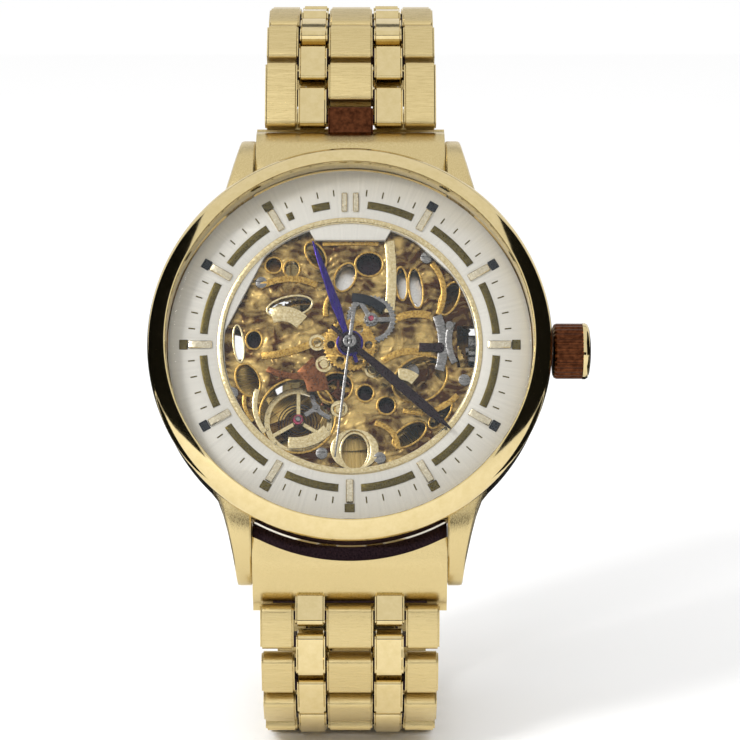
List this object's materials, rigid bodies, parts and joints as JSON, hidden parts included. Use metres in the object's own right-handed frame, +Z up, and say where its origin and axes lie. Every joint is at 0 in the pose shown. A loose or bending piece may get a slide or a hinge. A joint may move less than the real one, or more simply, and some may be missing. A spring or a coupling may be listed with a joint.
{
  "type": "skeleton wristwatch",
  "caption": "Gold-tone automatic skeleton wristwatch with a silvery dial ring, blued hands, open-worked movement and a link bracelet closed by a folding clasp.",
  "frame": {"origin": "centre of the flat underside of the bracelet row the watch stands on", "axes": "+Z up; the dial faces -Y and leans back 24 degrees; the crown points to +X; 12 o'clock is towards +Z"},
  "size_m": [0.0462, 0.0557, 0.0761],
  "materials": {
    "polished_gold": "polished gold plate",
    "brushed_gold": "brushed gold plate",
    "movement_gold": "engraved gilt brass",
    "dial_silver": "silvery white",
    "clear_glass": "clear",
    "blued_steel": "blued",
    "steel": "satin"
  },
  "bodies": {
    "head": {"mid_case": "polished_gold", "bezel": "polished_gold", "crystal": "clear_glass", "case_back": "polished_gold", "back_crystal": "clear_glass", "dial_ring": "dial_silver", "mainplate": "movement_gold", "movement_ring": "steel", "barrel_bridge": "movement_gold", "train_bridge": "movement_gold", "balance_cock": "movement_gold", "hairspring": "blued_steel", "end_link_upper": "brushed_gold", "end_link_lower": "brushed_gold", "spring_bar_upper": "steel", "spring_bar_lower": "steel"},
    "seconds_train": {"fourth_wheel": "movement_gold", "seconds_hand": "steel"},
    "third_wheel": {"third_wheel": "movement_gold"},
    "center_wheel": {"center_wheel": "movement_gold"},
    "barrel": {"barrel": "movement_gold"},
    "escape_wheel": {"escape_wheel": "steel"},
    "minute_train": {"cannon_pinion": "steel", "minute_hand": "blued_steel"},
    "minute_wheel": {"minute_wheel": "movement_gold"},
    "hour_train": {"hour_wheel": "movement_gold", "hour_hand": "blued_steel"},
    "pallet_fork": {"pallet_fork": "steel"},
    "balance_wheel": {"balance_wheel": "movement_gold"},
    "rotor": {"rotor": "movement_gold"},
    "winding_pinion": {"winding_pinion": "steel"},
    "crown": {"crown": "polished_gold", "stem": "steel"},
    "crown_wheel": {"crown_wheel": "steel"},
    "ratchet_wheel": {"ratchet_wheel": "steel"},
    "link_upper_01": {"link_upper_01": "brushed_gold"},
    "link_upper_02": {"link_upper_02": "brushed_gold"},
    "link_upper_03": {"link_upper_03": "brushed_gold"},
    "link_upper_04": {"link_upper_04": "brushed_gold"},
    "link_upper_05": {"link_upper_05": "brushed_gold"},
    "link_upper_06": {"link_upper_06": "brushed_gold"},
    "link_upper_07": {"link_upper_07": "brushed_gold"},
    "link_upper_08": {"link_upper_08": "brushed_gold"},
    "link_lower_01": {"link_lower_01": "brushed_gold"},
    "link_lower_02": {"link_lower_02": "brushed_gold"},
    "link_lower_03": {"link_lower_03": "brushed_gold"},
    "link_lower_04": {"link_lower_04": "brushed_gold"},
    "link_lower_05": {"link_lower_05": "brushed_gold"},
    "link_lower_06": {"link_lower_06": "brushed_gold"},
    "link_lower_07": {"link_lower_07": "brushed_gold"},
    "link_lower_08": {"link_lower_08": "brushed_gold"},
    "link_lower_09": {"link_lower_09": "brushed_gold"},
    "link_lower_10": {"link_lower_10": "brushed_gold"},
    "link_lower_11": {"link_lower_11": "brushed_gold"},
    "clasp_blade_inner": {"clasp_blade_inner": "polished_gold"},
    "clasp_blade_middle": {"clasp_blade_middle": "polished_gold"},
    "clasp_cover": {"clasp_cover": "brushed_gold"},
    "button_right": {"button_right": "polished_gold"},
    "button_left": {"button_left": "polished_gold"}
  },
  "joints": [
    {"name": "seconds_spin", "type": "hinge", "parent": "head", "child": "seconds_train", "pos_m": [0, -0.01047, 0.04233], "axis": [0, 0.9135, -0.4067], "continuous": true},
    {"name": "third_spin", "type": "hinge", "parent": "head", "child": "third_wheel", "pos_m": [-0.0047, -0.00977, 0.04389], "axis": [0, 0.9135, -0.4067], "continuous": true},
    {"name": "center_spin", "type": "hinge", "parent": "head", "child": "center_wheel", "pos_m": [0, -0.01047, 0.04233], "axis": [0, 0.9135, -0.4067], "continuous": true},
    {"name": "barrel_spin", "type": "hinge", "parent": "head", "child": "barrel", "pos_m": [0.00636, -0.01141, 0.04021], "axis": [0, 0.9135, -0.4067], "continuous": true},
    {"name": "escape_spin", "type": "hinge", "parent": "head", "child": "escape_wheel", "pos_m": [-0.00124, -0.01235, 0.03811], "axis": [0, 0.9135, -0.4067], "continuous": true},
    {"name": "minute_spin", "type": "hinge", "parent": "head", "child": "minute_train", "pos_m": [0, -0.01047, 0.04233], "axis": [0, 0.9135, -0.4067], "continuous": true},
    {"name": "minute_wheel_spin", "type": "hinge", "parent": "head", "child": "minute_wheel", "pos_m": [0.0022, -0.00931, 0.04493], "axis": [0, 0.9135, -0.4067], "continuous": true},
    {"name": "hour_spin", "type": "hinge", "parent": "head", "child": "hour_train", "pos_m": [0, -0.01047, 0.04233], "axis": [0, 0.9135, -0.4067], "continuous": true},
    {"name": "rotor_spin", "type": "hinge", "parent": "head", "child": "rotor", "pos_m": [0, -0.01047, 0.04233], "axis": [0, 0.9135, -0.4067], "continuous": true},
    {"name": "pallet_rock", "type": "hinge", "parent": "head", "child": "pallet_fork", "pos_m": [-0.00353, -0.01297, 0.03671], "axis": [0, 0.9135, -0.4067], "range_deg": [-4, 4]},
    {"name": "balance_swing", "type": "hinge", "parent": "head", "child": "balance_wheel", "pos_m": [-0.0054, -0.01348, 0.03557], "axis": [0, 0.9135, -0.4067], "range_deg": [-135, 135], "stiffness_Nm_per_rad": 0.001},
    {"name": "crown_spin", "type": "hinge", "parent": "head", "child": "winding_pinion", "pos_m": [0, -0.00965, 0.04196], "axis": [1, 0, 0], "continuous": true},
    {"name": "crown_pull", "type": "slide", "parent": "winding_pinion", "child": "crown", "axis": [1, 0, 0], "range_m": [0, 0.0012]},
    {"name": "crown_wheel_spin", "type": "hinge", "parent": "head", "child": "crown_wheel", "pos_m": [0.0102, -0.00927, 0.04502], "axis": [0, 0.9135, -0.4067], "continuous": true},
    {"name": "ratchet_spin", "type": "hinge", "parent": "head", "child": "ratchet_wheel", "pos_m": [0.00636, -0.01141, 0.04021], "axis": [0, 0.9135, -0.4067], "continuous": true},
    {"name": "bend_upper_01", "type": "hinge", "parent": "head", "child": "link_upper_01", "pos_m": [0, 0.00338, 0.06506], "axis": [1, 0, 0], "range_deg": [0, 9]},
    {"name": "bend_upper_02", "type": "hinge", "parent": "link_upper_01", "child": "link_upper_02", "pos_m": [0, 0.00585, 0.06952], "axis": [1, 0, 0], "range_deg": [0, 19]},
    {"name": "bend_upper_03", "type": "hinge", "parent": "link_upper_02", "child": "link_upper_03", "pos_m": [0, 0.00939, 0.07319], "axis": [1, 0, 0], "range_deg": [0, 32]},
    {"name": "bend_upper_04", "type": "hinge", "parent": "link_upper_03", "child": "link_upper_04", "pos_m": [0, 0.01424, 0.07477], "axis": [1, 0, 0], "range_deg": [0, 22]},
    {"name": "bend_upper_05", "type": "hinge", "parent": "link_upper_04", "child": "link_upper_05", "pos_m": [0, 0.01934, 0.07477], "axis": [1, 0, 0], "range_deg": [0, 24]},
    {"name": "bend_upper_06", "type": "hinge", "parent": "link_upper_05", "child": "link_upper_06", "pos_m": [0, 0.02414, 0.07302], "axis": [1, 0, 0], "range_deg": [0, 26]},
    {"name": "bend_upper_07", "type": "hinge", "parent": "link_upper_06", "child": "link_upper_07", "pos_m": [0, 0.02792, 0.06961], "axis": [1, 0, 0], "range_deg": [0, 24]},
    {"name": "bend_upper_08", "type": "hinge", "parent": "link_upper_07", "child": "link_upper_08", "pos_m": [0, 0.03032, 0.06511], "axis": [1, 0, 0], "range_deg": [0, 20]},
    {"name": "bend_lower_01", "type": "hinge", "parent": "head", "child": "link_lower_01", "pos_m": [0, -0.01759, 0.01551], "axis": [-1, 0, 0], "range_deg": [0, 31]},
    {"name": "bend_lower_02", "type": "hinge", "parent": "link_lower_01", "child": "link_lower_02", "pos_m": [0, -0.01733, 0.01041], "axis": [-1, 0, 0], "range_deg": [0, 27]},
    {"name": "bend_lower_03", "type": "hinge", "parent": "link_lower_02", "child": "link_lower_03", "pos_m": [0, -0.01509, 0.00583], "axis": [-1, 0, 0], "range_deg": [0, 29]},
    {"name": "bend_lower_04", "type": "hinge", "parent": "link_lower_03", "child": "link_lower_04", "pos_m": [0, -0.01113, 0.00262], "axis": [-1, 0, 0], "range_deg": [0, 28]},
    {"name": "bend_lower_05", "type": "hinge", "parent": "link_lower_04", "child": "link_lower_05", "pos_m": [0, -0.0062, 0.0013], "axis": [-1, 0, 0], "range_deg": [0, 19]},
    {"name": "bend_lower_06", "type": "hinge", "parent": "link_lower_05", "child": "link_lower_06", "pos_m": [0, -0.0011, 0.0013], "axis": [-1, 0, 0], "range_deg": [0, 4]},
    {"name": "bend_lower_07", "type": "hinge", "parent": "link_lower_06", "child": "link_lower_07", "pos_m": [0, 0.004, 0.0013], "axis": [-1, 0, 0], "range_deg": [0, 4]},
    {"name": "bend_lower_08", "type": "hinge", "parent": "link_lower_07", "child": "link_lower_08", "pos_m": [0, 0.0091, 0.0013], "axis": [-1, 0, 0], "range_deg": [0, 26]},
    {"name": "bend_lower_09", "type": "hinge", "parent": "link_lower_08", "child": "link_lower_09", "pos_m": [0, 0.01383, 0.00321], "axis": [-1, 0, 0], "range_deg": [0, 28]},
    {"name": "bend_lower_10", "type": "hinge", "parent": "link_lower_09", "child": "link_lower_10", "pos_m": [0, 0.01737, 0.00688], "axis": [-1, 0, 0], "range_deg": [0, 24]},
    {"name": "bend_lower_11", "type": "hinge", "parent": "link_lower_10", "child": "link_lower_11", "pos_m": [0, 0.01945, 0.01154], "axis": [-1, 0, 0], "range_deg": [0, 18]},
    {"name": "blade_inner_fold", "type": "hinge", "parent": "link_lower_11", "child": "clasp_blade_inner", "pos_m": [0, 0.02033, 0.01656], "axis": [-1, 0, 0], "range_deg": [0, 12]},
    {"name": "blade_middle_fold", "type": "hinge", "parent": "clasp_blade_inner", "child": "clasp_blade_middle", "pos_m": [0, 0.02581, 0.04709], "axis": [1, 0, 0], "range_deg": [0, 120]},
    {"name": "cover_fold", "type": "hinge", "parent": "clasp_blade_middle", "child": "clasp_cover", "pos_m": [0, 0.01998, 0.01964], "axis": [-1, 0, 0], "range_deg": [0, 100]},
    {"name": "button_right_press", "type": "slide", "parent": "clasp_cover", "child": "button_right", "axis": [-1, 0, 0], "range_m": [0, 0.0006], "stiffness_N_per_m": 300},
    {"name": "button_left_press", "type": "slide", "parent": "clasp_cover", "child": "button_left", "axis": [1, 0, 0], "range_m": [0, 0.0006], "stiffness_N_per_m": 300}
  ],
  "couplings": [
    {"joint": "third_spin", "follows": "seconds_spin", "ratio": -0.13333},
    {"joint": "center_spin", "follows": "seconds_spin", "ratio": 0.016667},
    {"joint": "barrel_spin", "follows": "seconds_spin", "ratio": -0.0023148},
    {"joint": "escape_spin", "follows": "seconds_spin", "ratio": -10},
    {"joint": "minute_wheel_spin", "follows": "minute_spin", "ratio": -0.33333},
    {"joint": "hour_spin", "follows": "minute_spin", "ratio": 0.083333},
    {"joint": "crown_wheel_spin", "follows": "crown_spin", "ratio": 0.5},
    {"joint": "ratchet_spin", "follows": "crown_spin", "ratio": -0.33333}
  ]
}
